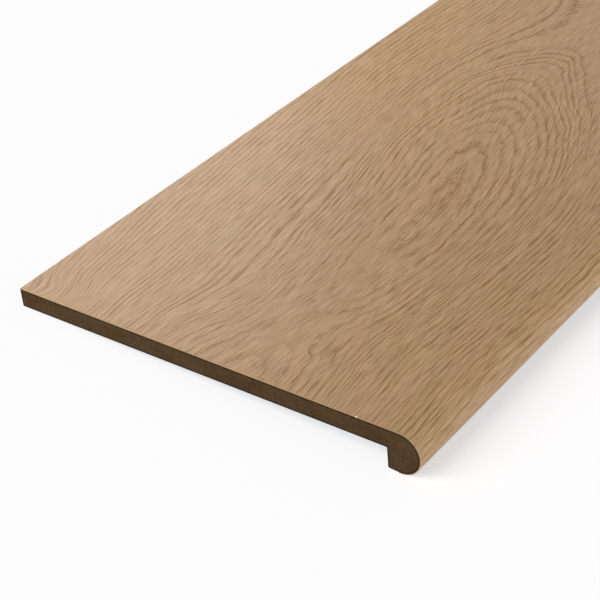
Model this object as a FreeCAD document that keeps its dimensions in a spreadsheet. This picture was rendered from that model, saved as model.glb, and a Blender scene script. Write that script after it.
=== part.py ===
# Stair tread that caps an old step: one machined fibreboard tread with a bullnosed lip,
# and a thin oak facing that covers its top and wraps round the nose.
#
# Frame, in millimetres: +X along the tread, +Y from the nose to the back edge, +Z up.
# The tread lies as it does unheld on a floor: on the round of its nose and on the lower
# edge of its back, so its top slopes down to the back. The origin is on the floor, in the
# middle of the tread's outline.
#
# Both pieces are drawn in one section, level, from the lower edge of the back: sketch x
# runs towards the back and sketch y up, so the nose is at negative x.
import FreeCAD, Part
import math
import os
from enum import IntEnum

import Sketcher

# Driving sizes: name, value in mm or degrees, meaning
SIZES = (
    ("tread_length", 1000.0, "length of the tread along the step"),
    ("tread_depth", 300.0, "from the front of the nose to the back edge, over the facing"),
    ("board_thickness", 12.6, "fibreboard behind the nose, without the facing"),
    ("nose_radius", 13.65, "round of the fibreboard nose, under the facing"),
    ("lip_width", 22.0, "from the front of the nose to the lip's inner face"),
    ("lip_slope", 3.9, "degrees that the lip's underside rises towards the back"),
    ("lip_corner_radius", 1.0, "easing of the lip's inner lower edge"),
    ("facing_thickness", 0.6, "oak facing on the top and round the nose"),
)

# How a sketch counts the points of a curve, and its own origin
Point = IntEnum("Point", "START END CENTRE")
ORIGIN = (-1, Point.START)

# Quarter turns of a full circle, in radians
TOP = math.pi / 2
BOTTOM = 3 * math.pi / 2

# How near a point must lie to count as the one looked for, in mm
ON_POINT = 0.01


def make_sizes(doc):
    """The sheet of driving sizes."""
    sheet = doc.addObject("Spreadsheet::Sheet", "sizes")
    for row, (name, value, meaning) in enumerate(SIZES, start=1):
        sheet.set(f"A{row}", name)
        sheet.set(f"B{row}", str(value))
        sheet.set(f"C{row}", meaning)
        sheet.setAlias(f"B{row}", name)
    doc.recompute()
    return sheet


def make_resting(doc):
    """How the tread lies: its slope, and how far its section moves to be centred."""
    resting = doc.addObject("App::VarSet", "resting")
    for kind, name in (
        ("Length", "nose_reach"),
        ("Length", "nose_drop"),
        ("Length", "outer_radius"),
        ("Angle", "slope"),
        ("Length", "back_overhang"),
        ("Length", "front_reach"),
        ("Length", "centring"),
    ):
        resting.addProperty(f"App::Property{kind}", name)
    # The nose's centre, in front of and below the lower edge of the back
    resting.setExpression(
        "nose_reach", "(sizes.tread_depth - sizes.facing_thickness - sizes.nose_radius) * 1mm"
    )
    resting.setExpression("nose_drop", "(sizes.nose_radius - sizes.board_thickness) * 1mm")
    resting.setExpression("outer_radius", "(sizes.nose_radius + sizes.facing_thickness) * 1mm")
    # The floor is the line from the back's lower edge that touches the round of the nose
    resting.setExpression(
        "slope",
        "atan(nose_drop / nose_reach)"
        " + asin(outer_radius / sqrt(nose_reach * nose_reach + nose_drop * nose_drop))",
    )
    resting.setExpression(
        "back_overhang", "(sizes.board_thickness + sizes.facing_thickness) * 1mm * sin(slope)"
    )
    resting.setExpression(
        "front_reach", "nose_reach * cos(slope) + nose_drop * sin(slope) + outer_radius"
    )
    resting.setExpression("centring", "(front_reach - back_overhang) / 2")
    doc.recompute()
    return resting


def make_body(doc, label):
    """An empty body that lies as the tread does."""
    body = doc.addObject("PartDesign::Body", label)
    body.Label = label
    body.Placement = FreeCAD.Placement(
        FreeCAD.Vector(0, 0, 0), FreeCAD.Rotation(FreeCAD.Vector(1, 0, 0), -1)
    )
    body.setExpression("Placement.Rotation.Angle", "-resting.slope")
    body.setExpression("Placement.Base.y", "resting.centring")
    return body


def make_section(body, name):
    """An empty sketch across the tread's length."""
    sketch = body.newObject("Sketcher::SketchObject", name)
    planes = {plane.Role: plane for plane in body.Origin.OriginFeatures}
    sketch.AttachmentSupport = [(planes["YZ_Plane"], "")]
    sketch.MapMode = "FlatFace"
    return sketch


def add_line(sketch, start, end):
    """A line between two points of the section."""
    return sketch.addGeometry(
        Part.LineSegment(FreeCAD.Vector(*start, 0), FreeCAD.Vector(*end, 0)), False
    )


def add_nose_arc(sketch, centre, radius, slope):
    """The round of the nose, from its top by the front to where the lip's underside starts."""
    circle = Part.Circle(FreeCAD.Vector(*centre, 0), FreeCAD.Vector(0, 0, 1), radius)
    return sketch.addGeometry(Part.ArcOfCircle(circle, TOP, BOTTOM + slope), False)


def join(sketch, first, second, relation="Coincident"):
    """Joins the end of one curve to the start of the next, tangent where asked."""
    sketch.addConstraint(Sketcher.Constraint(relation, first, Point.END, second, Point.START))


def size(sketch, name, constraint, expression):
    """A dimension of the section that the sheet drives."""
    index = sketch.addConstraint(constraint)
    sketch.renameConstraint(index, name)
    sketch.setExpression(f"Constraints.{name}", expression)


def nose_layout(sheet):
    """Start positions for a section: the nose's centre and the slope of the lip's underside."""
    reach = sheet.tread_depth - sheet.facing_thickness - sheet.nose_radius
    centre = (-reach, sheet.board_thickness - sheet.nose_radius)
    return centre, math.radians(sheet.lip_slope)


def pad_along_length(body, sketch):
    """Extrudes a section to the tread's length, half to each side."""
    pad = body.newObject("PartDesign::Pad", "length")
    pad.Profile = sketch
    pad.SideType = "Symmetric"
    pad.setExpression("Length", "sizes.tread_length")
    body.Document.recompute()
    return pad


def lip_corner_edge(pad, sheet, lip_foot):
    """Name of the long edge at the lip's inner lower corner."""
    inner_face = sheet.lip_width - sheet.tread_depth
    for number, edge in enumerate(pad.Shape.Edges, start=1):
        ends = [vertex.Point for vertex in edge.Vertexes]
        at_corner = [
            abs(point.y - inner_face) < ON_POINT and abs(point.z - lip_foot) < ON_POINT
            for point in ends
        ]
        if len(ends) == 2 and all(at_corner):
            return f"Edge{number}"
    raise ValueError("the lip's inner lower edge was not found")


def make_tread_core(doc, sheet):
    """The fibreboard tread: board, round nose and lip, machined in one piece."""
    body = make_body(doc, "tread_core")
    sketch = make_section(body, "core_section")
    (nose_x, nose_y), slope = nose_layout(sheet)
    thickness = sheet.board_thickness
    radius = sheet.nose_radius
    lip_x = sheet.lip_width - sheet.tread_depth
    arc_end = (nose_x + radius * math.sin(slope), nose_y - radius * math.cos(slope))
    lip_foot = arc_end[1] + (lip_x - arc_end[0]) * math.tan(slope)

    back = add_line(sketch, (0, 0), (0, thickness))
    top = add_line(sketch, (0, thickness), (nose_x, thickness))
    nose = add_nose_arc(sketch, (nose_x, nose_y), radius, slope)
    lip_under = add_line(sketch, arc_end, (lip_x, lip_foot))
    lip_inner = add_line(sketch, (lip_x, lip_foot), (lip_x, 0))
    underside = add_line(sketch, (lip_x, 0), (0, 0))

    join(sketch, back, top)
    join(sketch, top, nose, "Tangent")
    join(sketch, nose, lip_under, "Tangent")
    join(sketch, lip_under, lip_inner)
    join(sketch, lip_inner, underside)
    join(sketch, underside, back)
    sketch.addConstraint(Sketcher.Constraint("Coincident", back, Point.START, *ORIGIN))
    for line, direction in (
        (back, "Vertical"),
        (top, "Horizontal"),
        (lip_inner, "Vertical"),
        (underside, "Horizontal"),
    ):
        sketch.addConstraint(Sketcher.Constraint(direction, line))
    size(
        sketch,
        "thickness",
        Sketcher.Constraint("DistanceY", back, Point.START, back, Point.END, thickness),
        "sizes.board_thickness",
    )
    size(
        sketch,
        "nose_radius",
        Sketcher.Constraint("Radius", nose, radius),
        "sizes.nose_radius",
    )
    size(
        sketch,
        "nose_reach",
        Sketcher.Constraint("DistanceX", nose, Point.CENTRE, *ORIGIN, -nose_x),
        "resting.nose_reach",
    )
    size(
        sketch,
        "lip_face",
        Sketcher.Constraint("DistanceX", lip_inner, Point.START, *ORIGIN, -lip_x),
        "sizes.tread_depth - sizes.lip_width",
    )
    size(
        sketch,
        "lip_slope",
        Sketcher.Constraint("Angle", lip_under, slope),
        "sizes.lip_slope",
    )
    pad = pad_along_length(body, sketch)

    eased = body.newObject("PartDesign::Fillet", "eased_lip_corner")
    eased.Base = (pad, [lip_corner_edge(pad, sheet, lip_foot)])
    eased.setExpression("Radius", "sizes.lip_corner_radius")
    body.Tip = eased
    return body


def make_oak_facing(doc, sheet):
    """The oak facing: flat on the board, then wrapped round the nose to the lip's underside."""
    body = make_body(doc, "oak_facing")
    sketch = make_section(body, "facing_section")
    (nose_x, nose_y), slope = nose_layout(sheet)
    inner = sheet.nose_radius
    outer = inner + sheet.facing_thickness
    low = sheet.board_thickness
    high = low + sheet.facing_thickness

    def on_end(radius):
        """Where the wrapped end lies on a round of this radius."""
        return (nose_x + radius * math.sin(slope), nose_y - radius * math.cos(slope))

    back = add_line(sketch, (0, low), (0, high))
    face = add_line(sketch, (0, high), (nose_x, high))
    outer_wrap = add_nose_arc(sketch, (nose_x, nose_y), outer, slope)
    wrapped_end = add_line(sketch, on_end(outer), on_end(inner))
    inner_wrap = add_nose_arc(sketch, (nose_x, nose_y), inner, slope)
    glue_line = add_line(sketch, (nose_x, low), (0, low))

    join(sketch, back, face)
    join(sketch, face, outer_wrap, "Tangent")
    join(sketch, outer_wrap, wrapped_end)
    join(sketch, glue_line, back)
    for constraint in (
        ("Coincident", wrapped_end, Point.END, inner_wrap, Point.END),
        ("Tangent", inner_wrap, Point.START, glue_line, Point.START),
        ("Coincident", outer_wrap, Point.CENTRE, inner_wrap, Point.CENTRE),
        ("PointOnObject", inner_wrap, Point.CENTRE, wrapped_end),
        ("Vertical", *ORIGIN, back, Point.START),
        ("Vertical", back),
        ("Horizontal", face),
    ):
        sketch.addConstraint(Sketcher.Constraint(*constraint))
    size(
        sketch,
        "board_thickness",
        Sketcher.Constraint("DistanceY", *ORIGIN, back, Point.START, low),
        "sizes.board_thickness",
    )
    size(
        sketch,
        "facing_thickness",
        Sketcher.Constraint("DistanceY", back, Point.START, back, Point.END, high - low),
        "sizes.facing_thickness",
    )
    size(
        sketch,
        "nose_radius",
        Sketcher.Constraint("Radius", inner_wrap, inner),
        "sizes.nose_radius",
    )
    size(
        sketch,
        "nose_reach",
        Sketcher.Constraint("DistanceX", inner_wrap, Point.CENTRE, *ORIGIN, -nose_x),
        "resting.nose_reach",
    )
    size(
        sketch,
        "wrap_end",
        Sketcher.Constraint("Angle", wrapped_end, TOP + slope),
        "90 + sizes.lip_slope",
    )
    body.Tip = pad_along_length(body, sketch)
    return body


def check(doc, pieces):
    """Stops the build if an object failed or a piece is not one valid solid."""
    for thing in doc.Objects:
        if "Invalid" in thing.State or "Error" in thing.State:
            raise ValueError(f"{thing.Label} did not build: {thing.State}")
    for piece in pieces:
        shape = piece.Shape
        if shape.isNull() or not shape.isValid() or len(shape.Solids) != 1:
            raise ValueError(f"{piece.Label} is not one valid solid")


def main():
    """Builds the tread and writes each piece to its own file."""
    doc = FreeCAD.newDocument("stair_tread")
    sheet = make_sizes(doc)
    make_resting(doc)
    pieces = (make_tread_core(doc, sheet), make_oak_facing(doc, sheet))
    doc.recompute()
    check(doc, pieces)
    os.makedirs("parts", exist_ok=True)
    for piece in pieces:
        piece.Shape.exportStep(f"parts/{piece.Label}.step")
        print(piece.Label, round(piece.Shape.Volume, 1), piece.Shape.BoundBox)


main()
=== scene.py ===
import math

import bpy
from mathutils import Matrix, Vector

MM_PER_METRE = 1000.0

# The tread's section, level and from the lower edge of its back
TREAD_LENGTH = 1000.0
TREAD_DEPTH = 300.0
BOARD_THICKNESS = 12.6
FACING_THICKNESS = 0.6
CORE_RADIUS = 13.65
LIP_WIDTH = 22.0
NOSE_RADIUS = CORE_RADIUS + FACING_THICKNESS
NOSE_Y = NOSE_RADIUS - TREAD_DEPTH
NOSE_Z = BOARD_THICKNESS - CORE_RADIUS
LIP_INNER_FACE = LIP_WIDTH - TREAD_DEPTH

# The tread lies on its nose and on the lower edge of its back, and the frame's origin is in
# the middle of its outline
SLOPE = math.atan2(-NOSE_Z, -NOSE_Y) + math.asin(NOSE_RADIUS / math.hypot(NOSE_Y, NOSE_Z))
OUTLINE_FRONT = NOSE_Y * math.cos(SLOPE) + NOSE_Z * math.sin(SLOPE) - NOSE_RADIUS
OUTLINE_BACK = (BOARD_THICKNESS + FACING_THICKNESS) * math.sin(SLOPE)
CENTRING = -(OUTLINE_FRONT + OUTLINE_BACK) / 2

# How far a face looks along the tread where it begins to count as a cut end, and where it
# fully does
CUT_END_FACING = (0.5, 0.9)

# The colour sockets of the mix node, which share their names with its other sockets
MIX_COLOURS = (6, 7)
MIX_RESULT = 2


class Signal:
    """A number that varies over a surface, with plain arithmetic."""

    def __init__(self, graph, socket):
        self.graph = graph
        self.socket = socket

    def __add__(self, other):
        return self.graph.math("ADD", self, other)

    def __radd__(self, other):
        return self.graph.math("ADD", other, self)

    def __sub__(self, other):
        return self.graph.math("SUBTRACT", self, other)

    def __rsub__(self, other):
        return self.graph.math("SUBTRACT", other, self)

    def __mul__(self, other):
        return self.graph.math("MULTIPLY", self, other)

    def __truediv__(self, other):
        return self.graph.math("DIVIDE", self, other)


class Graph:
    """The nodes of one material or world."""

    def __init__(self, owner):
        owner.use_nodes = True
        self.tree = owner.node_tree

    def node(self, kind, **settings):
        """A new node with its settings."""
        node = self.tree.nodes.new(kind)
        for name, value in settings.items():
            setattr(node, name, value)
        return node

    def feed(self, socket, value):
        """Gives a socket a signal or a plain value."""
        if isinstance(value, Signal):
            self.tree.links.new(value.socket, socket)
        else:
            socket.default_value = value

    def math(self, operation, *values):
        """Arithmetic on signals and numbers."""
        node = self.node("ShaderNodeMath", operation=operation)
        for socket, value in zip(node.inputs, values):
            self.feed(socket, value)
        return Signal(self, node.outputs[0])

    def length(self, first, second):
        """How long a line with these two legs is."""
        return self.math("SQRT", first * first + second * second)

    def spread(self, value, low, high, to_low=0.0, to_high=1.0, kind="SMOOTHSTEP"):
        """Maps a range of a signal onto another, held at its ends."""
        node = self.node("ShaderNodeMapRange", interpolation_type=kind)
        for name, given in (
            ("Value", value),
            ("From Min", low),
            ("From Max", high),
            ("To Min", to_low),
            ("To Max", to_high),
        ):
            self.feed(node.inputs[name], given)
        return Signal(self, node.outputs["Result"])

    def curve(self, value, points):
        """A smooth curve through points of (value, result)."""
        firsts = [point[0] for point in points]
        seconds = [point[1] for point in points]
        start, end = min(firsts), max(firsts)
        low, high = min(seconds), max(seconds)
        node = self.node("ShaderNodeFloatCurve")
        line = node.mapping.curves[0]
        while len(line.points) < len(points):
            line.points.new(0.5, 0.5)
        for place, (first, second) in zip(line.points, points):
            place.location = ((first - start) / (end - start), (second - low) / (high - low))
        node.mapping.update()
        self.feed(node.inputs["Value"], (value - start) / (end - start))
        return Signal(self, node.outputs["Value"]) * (high - low) + low

    def point(self, x, y, z=0.0):
        """A place made of three signals."""
        node = self.node("ShaderNodeCombineXYZ")
        for socket, value in zip(node.inputs, (x, y, z)):
            self.feed(socket, value)
        return Signal(self, node.outputs[0])

    def noise(self, place, detail=2.0, roughness=0.5):
        """Soft noise about zero, one unit from crest to crest."""
        node = self.node("ShaderNodeTexNoise", noise_dimensions="3D")
        self.feed(node.inputs["Vector"], place)
        self.feed(node.inputs["Scale"], 1.0)
        self.feed(node.inputs["Detail"], detail)
        self.feed(node.inputs["Roughness"], roughness)
        return Signal(self, node.outputs[0]) - 0.5

    def blend(self, first, second, share, kind="MIX"):
        """Two colours mixed by a share."""
        node = self.node("ShaderNodeMix", data_type="RGBA", blend_type=kind)
        self.feed(node.inputs["Factor"], share)
        for number, colour in zip(MIX_COLOURS, (first, second)):
            plain = colour if isinstance(colour, Signal) else (*colour, 1.0)
            self.feed(node.inputs[number], plain)
        return Signal(self, node.outputs[MIX_RESULT])

    def seen(self):
        """One for rays from the camera, straight or by way of gloss or glass."""
        ray = self.node("ShaderNodeLightPath")
        kinds = ("Is Camera Ray", "Is Glossy Ray", "Is Transmission Ray")
        camera, glossy, transmission = [Signal(self, ray.outputs[kind]) for kind in kinds]
        return self.math("MINIMUM", camera + glossy + transmission, 1.0)

    def object_place(self):
        """Where a point lies in the frame, in mm, and which way its face looks."""
        node = self.node("ShaderNodeTexCoord")
        place = self.node("ShaderNodeSeparateXYZ")
        facing = self.node("ShaderNodeSeparateXYZ")
        self.tree.links.new(node.outputs["Object"], place.inputs[0])
        self.tree.links.new(node.outputs["Normal"], facing.inputs[0])
        return (
            [Signal(self, socket) * MM_PER_METRE for socket in place.outputs],
            [Signal(self, socket) for socket in facing.outputs],
        )

    def surface(self, colour, roughness, specular, height, bump_strength, bump_depth):
        """Feeds the material's shader, with a fine bump whose depth is in mm."""
        bump = self.node("ShaderNodeBump")
        self.feed(bump.inputs["Strength"], bump_strength)
        self.feed(bump.inputs["Distance"], bump_depth / MM_PER_METRE)
        self.feed(bump.inputs["Height"], height)
        shader = self.tree.nodes["Principled BSDF"]
        self.feed(shader.inputs["Base Color"], colour)
        self.feed(shader.inputs["Roughness"], roughness)
        self.feed(shader.inputs["Normal"], Signal(self, bump.outputs[0]))
        shader.inputs["Specular IOR Level"].default_value = specular


def on_section(graph, place):
    """Where a point lies in the level section, and how far ahead of the nose's centre and
    above it that is."""
    y, z = place[1] - CENTRING, place[2]
    level_y = y * math.cos(SLOPE) - z * math.sin(SLOPE)
    level_z = y * math.sin(SLOPE) + z * math.cos(SLOPE)
    ahead = graph.math("MAXIMUM", NOSE_Y - level_y, 0.0)
    above = level_z - NOSE_Z
    return level_y, level_z, ahead, above


def on_facing(graph, place):
    """Along and across on the facing, unrolled from the round of the nose."""
    level_y, level_z, ahead, above = on_section(graph, place)
    turn = graph.math("ARCTAN2", ahead, above)
    across = graph.math("MAXIMUM", level_y, NOSE_Y) - turn * NOSE_RADIUS
    return place[0] + TREAD_LENGTH / 2, across


def from_rim(graph, place):
    """How deep a point of the fibreboard's section lies inside its outline."""
    level_y, level_z, ahead, above = on_section(graph, place)
    from_round = CORE_RADIUS - graph.length(ahead, above)
    over = graph.math("MAXIMUM", level_z, 0.0)
    before = graph.math("MAXIMUM", LIP_INNER_FACE - level_y, 0.0)
    nearest = graph.math("MINIMUM", from_round, graph.length(over, before))
    return graph.math("MINIMUM", nearest, level_y * -1.0)


def on_cut_end(graph, facing):
    """One on the cut ends, which look along the tread, and nought elsewhere."""
    return graph.spread(graph.math("ABSOLUTE", facing[0]), *CUT_END_FACING)


def bell(graph, along, across, centre_along, centre_across, length, width):
    """A soft hill, one high at its centre."""
    far_along = (along - centre_along) / length
    far_across = (across - centre_across) / width
    distance = far_along * far_along + far_across * far_across
    return graph.math("EXPONENT", distance * -1.0)


def grain(graph, along, across, length, width, layer, detail, roughness=0.5):
    """Noise stretched to a length and width; each layer has a figure of its own."""
    return graph.noise(graph.point(along / length, across / width, layer), detail, roughness)


# Lines that the oak's fibre follows, along and across: on the rings' own middle, towards the
# back edge and towards the nose
PITH_LINE = (
    (0, -176), (30, -177), (57, -179), (88, -182), (117, -182), (145, -180),
    (170, -178.5), (210, -174), (250, -167), (290, -159.5), (330, -153.5), (365, -147),
    (400, -140), (520, -139), (620, -141), (750, -152), (880, -168), (1000, -172),
)
BACK_LINE = (
    (0, -174), (57, -167), (117, -164), (190, -158), (245, -152), (293, -146),
    (340, -138), (370, -133), (400, -129), (430, -126), (468, -123.5), (520, -124),
    (620, -130), (750, -142), (880, -158), (1000, -164),
)
FRONT_LINE = (
    (0, -187), (25, -186), (55, -185), (85, -184), (115, -184), (145, -184.5),
    (175, -185), (205, -185), (235, -184), (265, -181), (295, -177), (325, -173),
    (400, -166), (470, -162), (620, -160), (750, -166), (880, -176), (1000, -180),
)
# Across, where the back line and the front line begin to lead the fibre, and fully do
BACK_REACH = (-140.0, -72.0)
FRONT_REACH = (-160.0, -245.0)
# How deep under the face the pith runs: along, depth
PITH_DEPTH = (
    (0, 20), (30, 26), (55, 31), (75, 28.5), (95, 22), (117, 17), (145, 11), (190, 7),
    (240, 8), (290, 16), (332, 29), (383, 43), (413, 51), (433, 55.5), (453, 60.5),
    (468, 63), (500, 65), (540, 62), (620, 42), (700, 24), (800, 18), (900, 28),
    (1000, 46),
)
# Places where the grain bows out: along, across, length, width, push
BOWS = (
    (0, -8, 90, 30, -13),
    (10, -27, 16, 20, -12),
    (0, -118, 50, 28, 9),
)


def oak_figure(graph, along, across):
    """The oak's grain: a line across the fibre, and the radius of the growth ring."""
    pith = graph.curve(along, PITH_LINE)
    back = graph.spread(across, *BACK_REACH)
    front = graph.spread(across, *FRONT_REACH)
    line = pith + (graph.curve(along, BACK_LINE) - pith) * back
    line = line + (graph.curve(along, FRONT_LINE) - pith) * front
    fibre = across - line
    for *place_and_size, push in BOWS:
        fibre = fibre - bell(graph, along, across, *place_and_size) * push
    depth = graph.curve(along, PITH_DEPTH)
    return fibre, graph.length(fibre, depth)


# Rings counted outwards from the pith: radius, number
RING_COUNT = (
    (0, 0), (16, 2), (29, 4), (43, 7), (51, 9.5), (57, 12), (63, 14.4), (66, 14.7),
    (85, 19.5), (100, 24), (130, 31), (180, 42), (240, 55),
)
# From the start of one ring to the start of the next: its dark line and its band of pores
RING_LINE = ((0, 1), (0.09, 0.65), (0.2, 0.25), (0.4, 0), (0.86, 0), (0.94, 0.2), (1, 1))
RING_PORES = ((0, 1), (0.2, 0.75), (0.45, 0.1), (0.8, 0), (0.92, 0.3), (1, 1))
# Wide and narrow years: width, layer and detail of their noise, and how far they move a ring
YEARS_WIDTH = 9.0
YEARS_LAYER = 3.0
YEARS_DETAIL = 0.0
YEARS_MOVE = 2.0
# Long soft sways of the rings: their grain, and how far they move a ring
SWAY = (60.0, 24.0, 0.0, 1.0)
SWAY_MOVE = 3.0
# Short steps of the rings: their grain, how many rings they cross near the pith and
# everywhere, and how fast they die down away from the pith
JAG = (7.0, 5.0, 0.0, 3.0)
JAG_NEAR_PITH = 0.85
JAG_EVERYWHERE = 0.05
JAG_FALL = -0.0005
# Rings are weak or strong, from one to the next and along each. A range holds the noise from
# and to, then the strength from and to
RING_STEP = 0.73
CHANGE_LENGTH = 120.0
CHANGE_DETAIL = 1.0
CHANGE_RANGE = (-0.15, 0.2, 0.15, 1.25)
FADING = (26.0, 12.0, 2.0, 1.0)
FADING_RANGE = (-0.2, 0.2, 0.6, 1.45)


def oak_rings(graph, along, across, fibre, radius):
    """How near a ring's start a point is, and the strength of its dark line and pores."""
    years = graph.noise(graph.point(radius / YEARS_WIDTH, YEARS_LAYER), YEARS_DETAIL)
    sway = grain(graph, along, across, *SWAY)
    jag = grain(graph, along, fibre, *JAG)
    near = graph.math("EXPONENT", fibre * fibre * JAG_FALL)
    ring = graph.curve(radius + years * YEARS_MOVE + sway * SWAY_MOVE, RING_COUNT)
    ring = ring + jag * (near * JAG_NEAR_PITH + JAG_EVERYWHERE)
    ring_number = graph.math("FLOOR", ring)
    in_ring = graph.math("FRACT", ring)
    early = graph.curve(in_ring, RING_LINE)
    change = graph.point(ring_number * RING_STEP, along / CHANGE_LENGTH)
    change = graph.noise(change, CHANGE_DETAIL)
    fading = grain(graph, along, across, *FADING)
    strength = graph.spread(change, *CHANGE_RANGE, "LINEAR")
    strength = strength * graph.spread(fading, *FADING_RANGE)
    return early, early * strength, graph.curve(in_ring, RING_PORES) * strength


# Places on the oak: along, across, length, width. Two have a faint figure, one is a darker
# stain, and one is a pale chip on the cut edge
FAINT = (75, -168, 75, 36)
FAINT_CORNER = (8, -25, 28, 24)
STAIN = (219, -176, 24, 7)
CHIP = (0.2, -258.3, 0.8, 0.65)
CHIP_EDGE = (0.2, 0.6)
# Grain of the oak: length, width, layer, detail, roughness
STREAK = (70.0, 0.65, 0.0, 3.0, 0.8)
DASH = (24.0, 0.55, 4.0, 2.0, 0.6)
GRIT = (18.0, 0.33, 8.0, 1.0, 0.6)
PATCH = (130.0, 9.0, 7.0, 2.0)
TINT = (40.0, 12.0, 9.0, 2.0)
# Open pores: the dash noise where one begins and where it is full, their share in the rings'
# dark lines and everywhere, and how dark they are
PORE_DASHES = (0.03, 0.25)
PORES_IN_LINE = 0.6
PORES_EVERYWHERE = 0.4
PORE_DARKNESS = 0.7
# The grain grows coarser towards the nose: across from and to, then coarseness from and to
COARSENESS = (-60.0, -230.0, 1.0, 1.4)
# How pale the plain oak is, from OAK to OAK_PALE, and how much each part of the figure
# changes that
TONE = 0.74
TONE_PATCH = 0.45
TONE_STREAK = 1.6
TONE_DASH = 0.2
TONE_GRIT = 2.9
TONE_GRIT_IN_PORES = 2.3
TONE_LINE = 0.95
TONE_PORES = 0.15
TONE_STAIN = 0.3
# What the faint places take from the rings' lines and the streaks
FAINT_LINE = 0.75
FAINT_STREAK = 0.75
# Noise that is fully red and fully yellow, and how much redder the stain is
TINT_RANGE = (-0.2, 0.2)
TINT_STAIN = 0.3
# Colours of the oak, then the two ends of its tint, which multiplies them
OAK = (0.241, 0.120, 0.031)
OAK_PALE = (0.483, 0.311, 0.170)
OAK_PORE = (0.118, 0.044, 0.009)
OAK_EDGE = (0.42, 0.27, 0.14)
OAK_CHIPPED = (0.88, 0.70, 0.50)
OAK_RED = (1.02, 0.985, 0.99)
OAK_YELLOW = (0.995, 1.004, 0.955)
# Gloss and relief
OAK_ROUGHNESS = 0.44
PORE_ROUGHNESS = 0.2
PATCH_ROUGHNESS = 0.1
OAK_SPECULAR = 0.3
STREAK_RELIEF = 0.5
LINE_RELIEF = 0.5
OAK_BUMP = 0.4
OAK_BUMP_DEPTH = 0.12


def make_oak():
    """Satin oak veneer, cut flat so that its rings close in long arches."""
    material = bpy.data.materials.new("oak_satin")
    graph = Graph(material)
    place, facing = graph.object_place()
    along, across = on_facing(graph, place)
    fibre, radius = oak_figure(graph, along, across)
    early, line, porous = oak_rings(graph, along, across, fibre, radius)
    faint = bell(graph, along, across, *FAINT) + bell(graph, along, across, *FAINT_CORNER)
    line = line * (1.0 - faint * FAINT_LINE)

    # Fibre and open pores: long thin streaks and short dashes, darkest in the early wood
    streak = grain(graph, along, fibre, *STREAK)
    dash = grain(graph, along, fibre, *DASH)
    grit = grain(graph, along, fibre, *GRIT)
    pores = graph.spread(dash, *PORE_DASHES) * (early * PORES_IN_LINE + PORES_EVERYWHERE)
    patch = grain(graph, along, fibre, *PATCH)
    tint = grain(graph, along, across, *TINT)
    stain = bell(graph, along, across, *STAIN)

    coarse = graph.spread(across, *COARSENESS)
    tone = patch * TONE_PATCH + streak * (TONE_STREAK - faint * FAINT_STREAK) * coarse
    tone = tone - dash * TONE_DASH
    tone = tone + grit * (TONE_GRIT + porous * TONE_GRIT_IN_PORES) * coarse + TONE
    tone = tone - line * TONE_LINE - porous * TONE_PORES - stain * TONE_STAIN
    colour = graph.blend(OAK, OAK_PALE, graph.spread(tone, 0.0, 1.0, kind="LINEAR"))
    colour = graph.blend(colour, OAK_PORE, pores * coarse * PORE_DARKNESS)
    yellow = graph.spread(tint - stain * TINT_STAIN, *TINT_RANGE)
    colour = graph.blend(colour, graph.blend(OAK_RED, OAK_YELLOW, yellow), 1.0, "MULTIPLY")
    colour = graph.blend(colour, OAK_EDGE, on_cut_end(graph, facing))
    chip = bell(graph, along, across, *CHIP)
    colour = graph.blend(colour, OAK_CHIPPED, graph.spread(chip, *CHIP_EDGE))

    height = streak * STREAK_RELIEF - line * LINE_RELIEF - pores
    roughness = OAK_ROUGHNESS + pores * PORE_ROUGHNESS + patch * PATCH_ROUGHNESS
    graph.surface(colour, roughness, OAK_SPECULAR, height, OAK_BUMP, OAK_BUMP_DEPTH)
    return material


FIBREBOARD = (0.078, 0.0468, 0.0218)
# Matted fibre and softer clouds: widths and heights, the fibre's detail and roughness, and
# the clouds' share. FIBRE_SHADES holds the noise from and to, then the shade from and to
SPECK_WIDTH = 1.6
SPECK_HEIGHT = 0.9
SPECK_NOISE = (2.0, 0.7)
CLOUD_WIDTH = 22.0
CLOUD_HEIGHT = 9.0
CLOUD_SHARE = 0.4
FIBRE_SHADES = (-0.3, 0.3, 0.5, 1.5)
# The cut ends are darker along their outline: down to the first depth fully, and past the
# second not at all
RIM = (0.3, 1.4)
RIM_DARKNESS = 0.8
FIBREBOARD_ROUGHNESS = 0.85
SPECK_ROUGHNESS = 0.1
FIBREBOARD_SPECULAR = 0.05
FIBREBOARD_BUMP = 0.5
FIBREBOARD_BUMP_DEPTH = 0.08


def make_fibreboard():
    """Dense brown fibreboard, cut and sanded: fine matted fibre."""
    material = bpy.data.materials.new("fibreboard_matt")
    graph = Graph(material)
    place, facing = graph.object_place()
    x, y, z = place
    speck = graph.point(x / SPECK_WIDTH, y / SPECK_WIDTH, z / SPECK_HEIGHT)
    speck = graph.noise(speck, *SPECK_NOISE)
    cloud = graph.noise(graph.point(x / CLOUD_WIDTH, y / CLOUD_WIDTH, z / CLOUD_HEIGHT))
    shade = graph.spread(speck + cloud * CLOUD_SHARE, *FIBRE_SHADES, "LINEAR")
    cut_end = on_cut_end(graph, facing)
    rim = 1.0 - graph.spread(from_rim(graph, place), *RIM)
    shade = shade * (1.0 - cut_end * rim * RIM_DARKNESS)
    colour = graph.blend(FIBREBOARD, graph.point(shade, shade, shade), 1.0, "MULTIPLY")
    roughness = FIBREBOARD_ROUGHNESS + speck * SPECK_ROUGHNESS
    graph.surface(
        colour, roughness, FIBREBOARD_SPECULAR, speck, FIBREBOARD_BUMP, FIBREBOARD_BUMP_DEPTH
    )
    return material


def dress(frame):
    """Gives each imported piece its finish."""
    finishes = {"tread_core": make_fibreboard(), "oak_facing": make_oak()}
    for name, material in finishes.items():
        for slot in frame["nodes"][name].material_slots:
            slot.material = material


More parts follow.
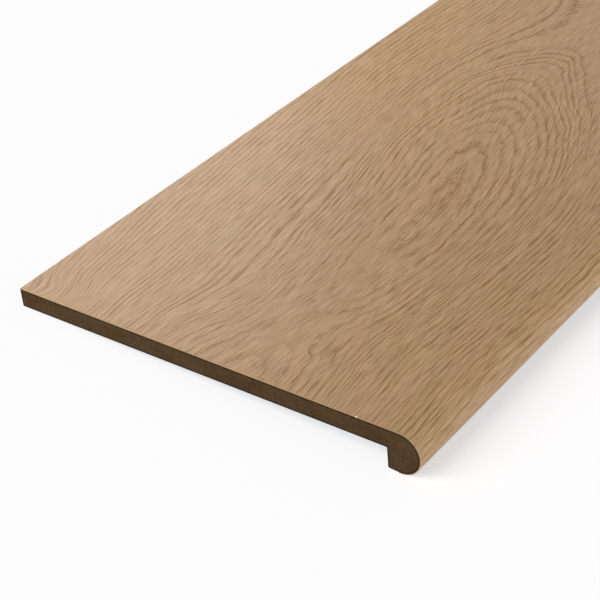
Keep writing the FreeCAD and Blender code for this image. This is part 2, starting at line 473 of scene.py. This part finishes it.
# The floor's paint takes the shadow, and a glow that lights nothing else makes it white
FLOOR_SIZE = 12.0
FLOOR_PAINT = (0.90, 0.80, 0.725)
FLOOR_GLOW = (0.915, 1.0, 1.075)
FLOOR_GLOW_STRENGTH = 0.567


def make_floor():
    """A white floor that keeps the tread's shadow."""
    mesh = bpy.data.meshes.new("floor")
    half = FLOOR_SIZE / 2
    corners = [(-half, -half, 0), (half, -half, 0), (half, half, 0), (-half, half, 0)]
    mesh.from_pydata(corners, [], [(0, 1, 2, 3)])
    floor = bpy.data.objects.new("floor", mesh)
    bpy.context.scene.collection.objects.link(floor)
    material = bpy.data.materials.new("floor_white")
    graph = Graph(material)
    graph.tree.nodes.clear()
    paint = graph.node("ShaderNodeBsdfDiffuse")
    paint.inputs["Color"].default_value = (*FLOOR_PAINT, 1.0)
    glow = graph.node("ShaderNodeEmission")
    glow.inputs["Color"].default_value = (*FLOOR_GLOW, 1.0)
    graph.feed(glow.inputs["Strength"], graph.seen() * FLOOR_GLOW_STRENGTH)
    both = graph.node("ShaderNodeAddShader")
    graph.tree.links.new(paint.outputs[0], both.inputs[0])
    graph.tree.links.new(glow.outputs[0], both.inputs[1])
    output = graph.node("ShaderNodeOutputMaterial")
    graph.tree.links.new(both.outputs[0], output.inputs["Surface"])
    mesh.materials.append(material)


WHITE = (1.0, 1.0, 1.0)
# Light from all round, and how much brighter the backdrop itself looks
AMBIENT = 0.10
BACKDROP = 0.88


def make_world():
    """Even white light from all round, and a white backdrop."""
    world = bpy.data.worlds.new("studio")
    bpy.context.scene.world = world
    graph = Graph(world)
    background = graph.tree.nodes["Background"]
    background.inputs["Color"].default_value = (*WHITE, 1.0)
    graph.feed(background.inputs["Strength"], AMBIENT + graph.seen() * BACKDROP)


SUN_AT = (-1.38, 0.74, 1.12)
SUN_TARGET = (0.0, 0.0, 0.0)
SUN_POWER = 2.22
SUN_BREADTH = math.radians(50)
# Soft boxes that light the tread alone: place, target, width, height, power, colour
SOFT_BOXES = {
    "back": ((-0.13, 0.42, 0.26), (-0.13, 0.1, 0.0), 0.5, 0.1, 1.0, WHITE),
    "side": ((-0.75, 0.3, 0.35), (-0.4, 0.05, 0.0), 0.2, 0.2, 0.7, WHITE),
    "end": ((-0.65, 0.0, 0.2), (-0.5, 0.0, 0.0), 0.3, 0.1, 0.05, WHITE),
    "far_end": ((0.9, -0.1, 0.06), (0.5, 0.0, 0.0), 0.3, 0.08, 0.25, WHITE),
    "front": ((-0.3, -1.95, 0.35), (-0.2, -0.15, 0.0), 1.4, 0.9, 36.0, (0.88, 0.95, 1.0)),
}


def hang(name, lamp, at, target):
    """Puts a lamp at a place and turns it to a target."""
    hung = bpy.data.objects.new(name, lamp)
    bpy.context.scene.collection.objects.link(hung)
    hung.location = at
    hung.rotation_mode = "QUATERNION"
    hung.rotation_quaternion = (Vector(target) - Vector(at)).to_track_quat("-Z", "Y")
    return hung


def make_soft_box(name, lit, at, target, width, height, power, colour):
    """A flat lamp that lights one collection."""
    lamp = bpy.data.lights.new(name, "AREA")
    lamp.shape = "RECTANGLE"
    lamp.size = width
    lamp.size_y = height
    lamp.energy = power
    lamp.color = colour
    hang(name, lamp, at, target).light_linking.receiver_collection = lit


def make_lamps(frame):
    """A broad sun over the tread's left end and back, and the soft boxes."""
    sun = bpy.data.lights.new("key", "SUN")
    sun.energy = SUN_POWER
    sun.angle = SUN_BREADTH
    hang("key", sun, SUN_AT, SUN_TARGET)

    lit = bpy.data.collections.new("lit_by_soft_boxes")
    for node in frame["nodes"].values():
        lit.objects.link(node)
    for name, setting in SOFT_BOXES.items():
        make_soft_box(name, lit, *setting)


# The camera stands off the left end, in front of the nose
CAMERA_AT = Vector((-1.07075, -0.51381, 0.60760))
CAMERA_FORWARD = Vector((0.64365, 0.49761, -0.58147))
CAMERA_RIGHT = Vector((0.59075, -0.80606, -0.03589))
CAMERA_LENS = 99.2
CAMERA_SENSOR = 36.0
CAMERA_REACH = 50.0


def make_camera():
    """The photograph's view of the tread."""
    data = bpy.data.cameras.new("camera")
    data.lens = CAMERA_LENS
    data.sensor_width = CAMERA_SENSOR
    data.clip_end = CAMERA_REACH
    camera = bpy.data.objects.new("camera", data)
    bpy.context.scene.collection.objects.link(camera)
    forward = CAMERA_FORWARD.normalized()
    right = (CAMERA_RIGHT - forward * CAMERA_RIGHT.dot(forward)).normalized()
    axes = Matrix((right, right.cross(forward), -forward)).transposed()
    camera.matrix_world = Matrix.Translation(CAMERA_AT) @ axes.to_4x4()
    bpy.context.scene.camera = camera


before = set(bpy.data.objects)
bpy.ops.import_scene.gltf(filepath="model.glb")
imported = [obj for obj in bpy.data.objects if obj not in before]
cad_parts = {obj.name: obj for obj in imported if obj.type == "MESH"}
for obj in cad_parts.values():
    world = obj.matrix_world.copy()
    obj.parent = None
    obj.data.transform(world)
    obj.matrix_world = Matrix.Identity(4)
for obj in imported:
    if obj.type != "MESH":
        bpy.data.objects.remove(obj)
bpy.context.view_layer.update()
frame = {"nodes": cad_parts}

dress(frame)
make_floor()
make_world()
make_lamps(frame)
make_camera()
bpy.context.scene.view_settings.view_transform = "Standard"
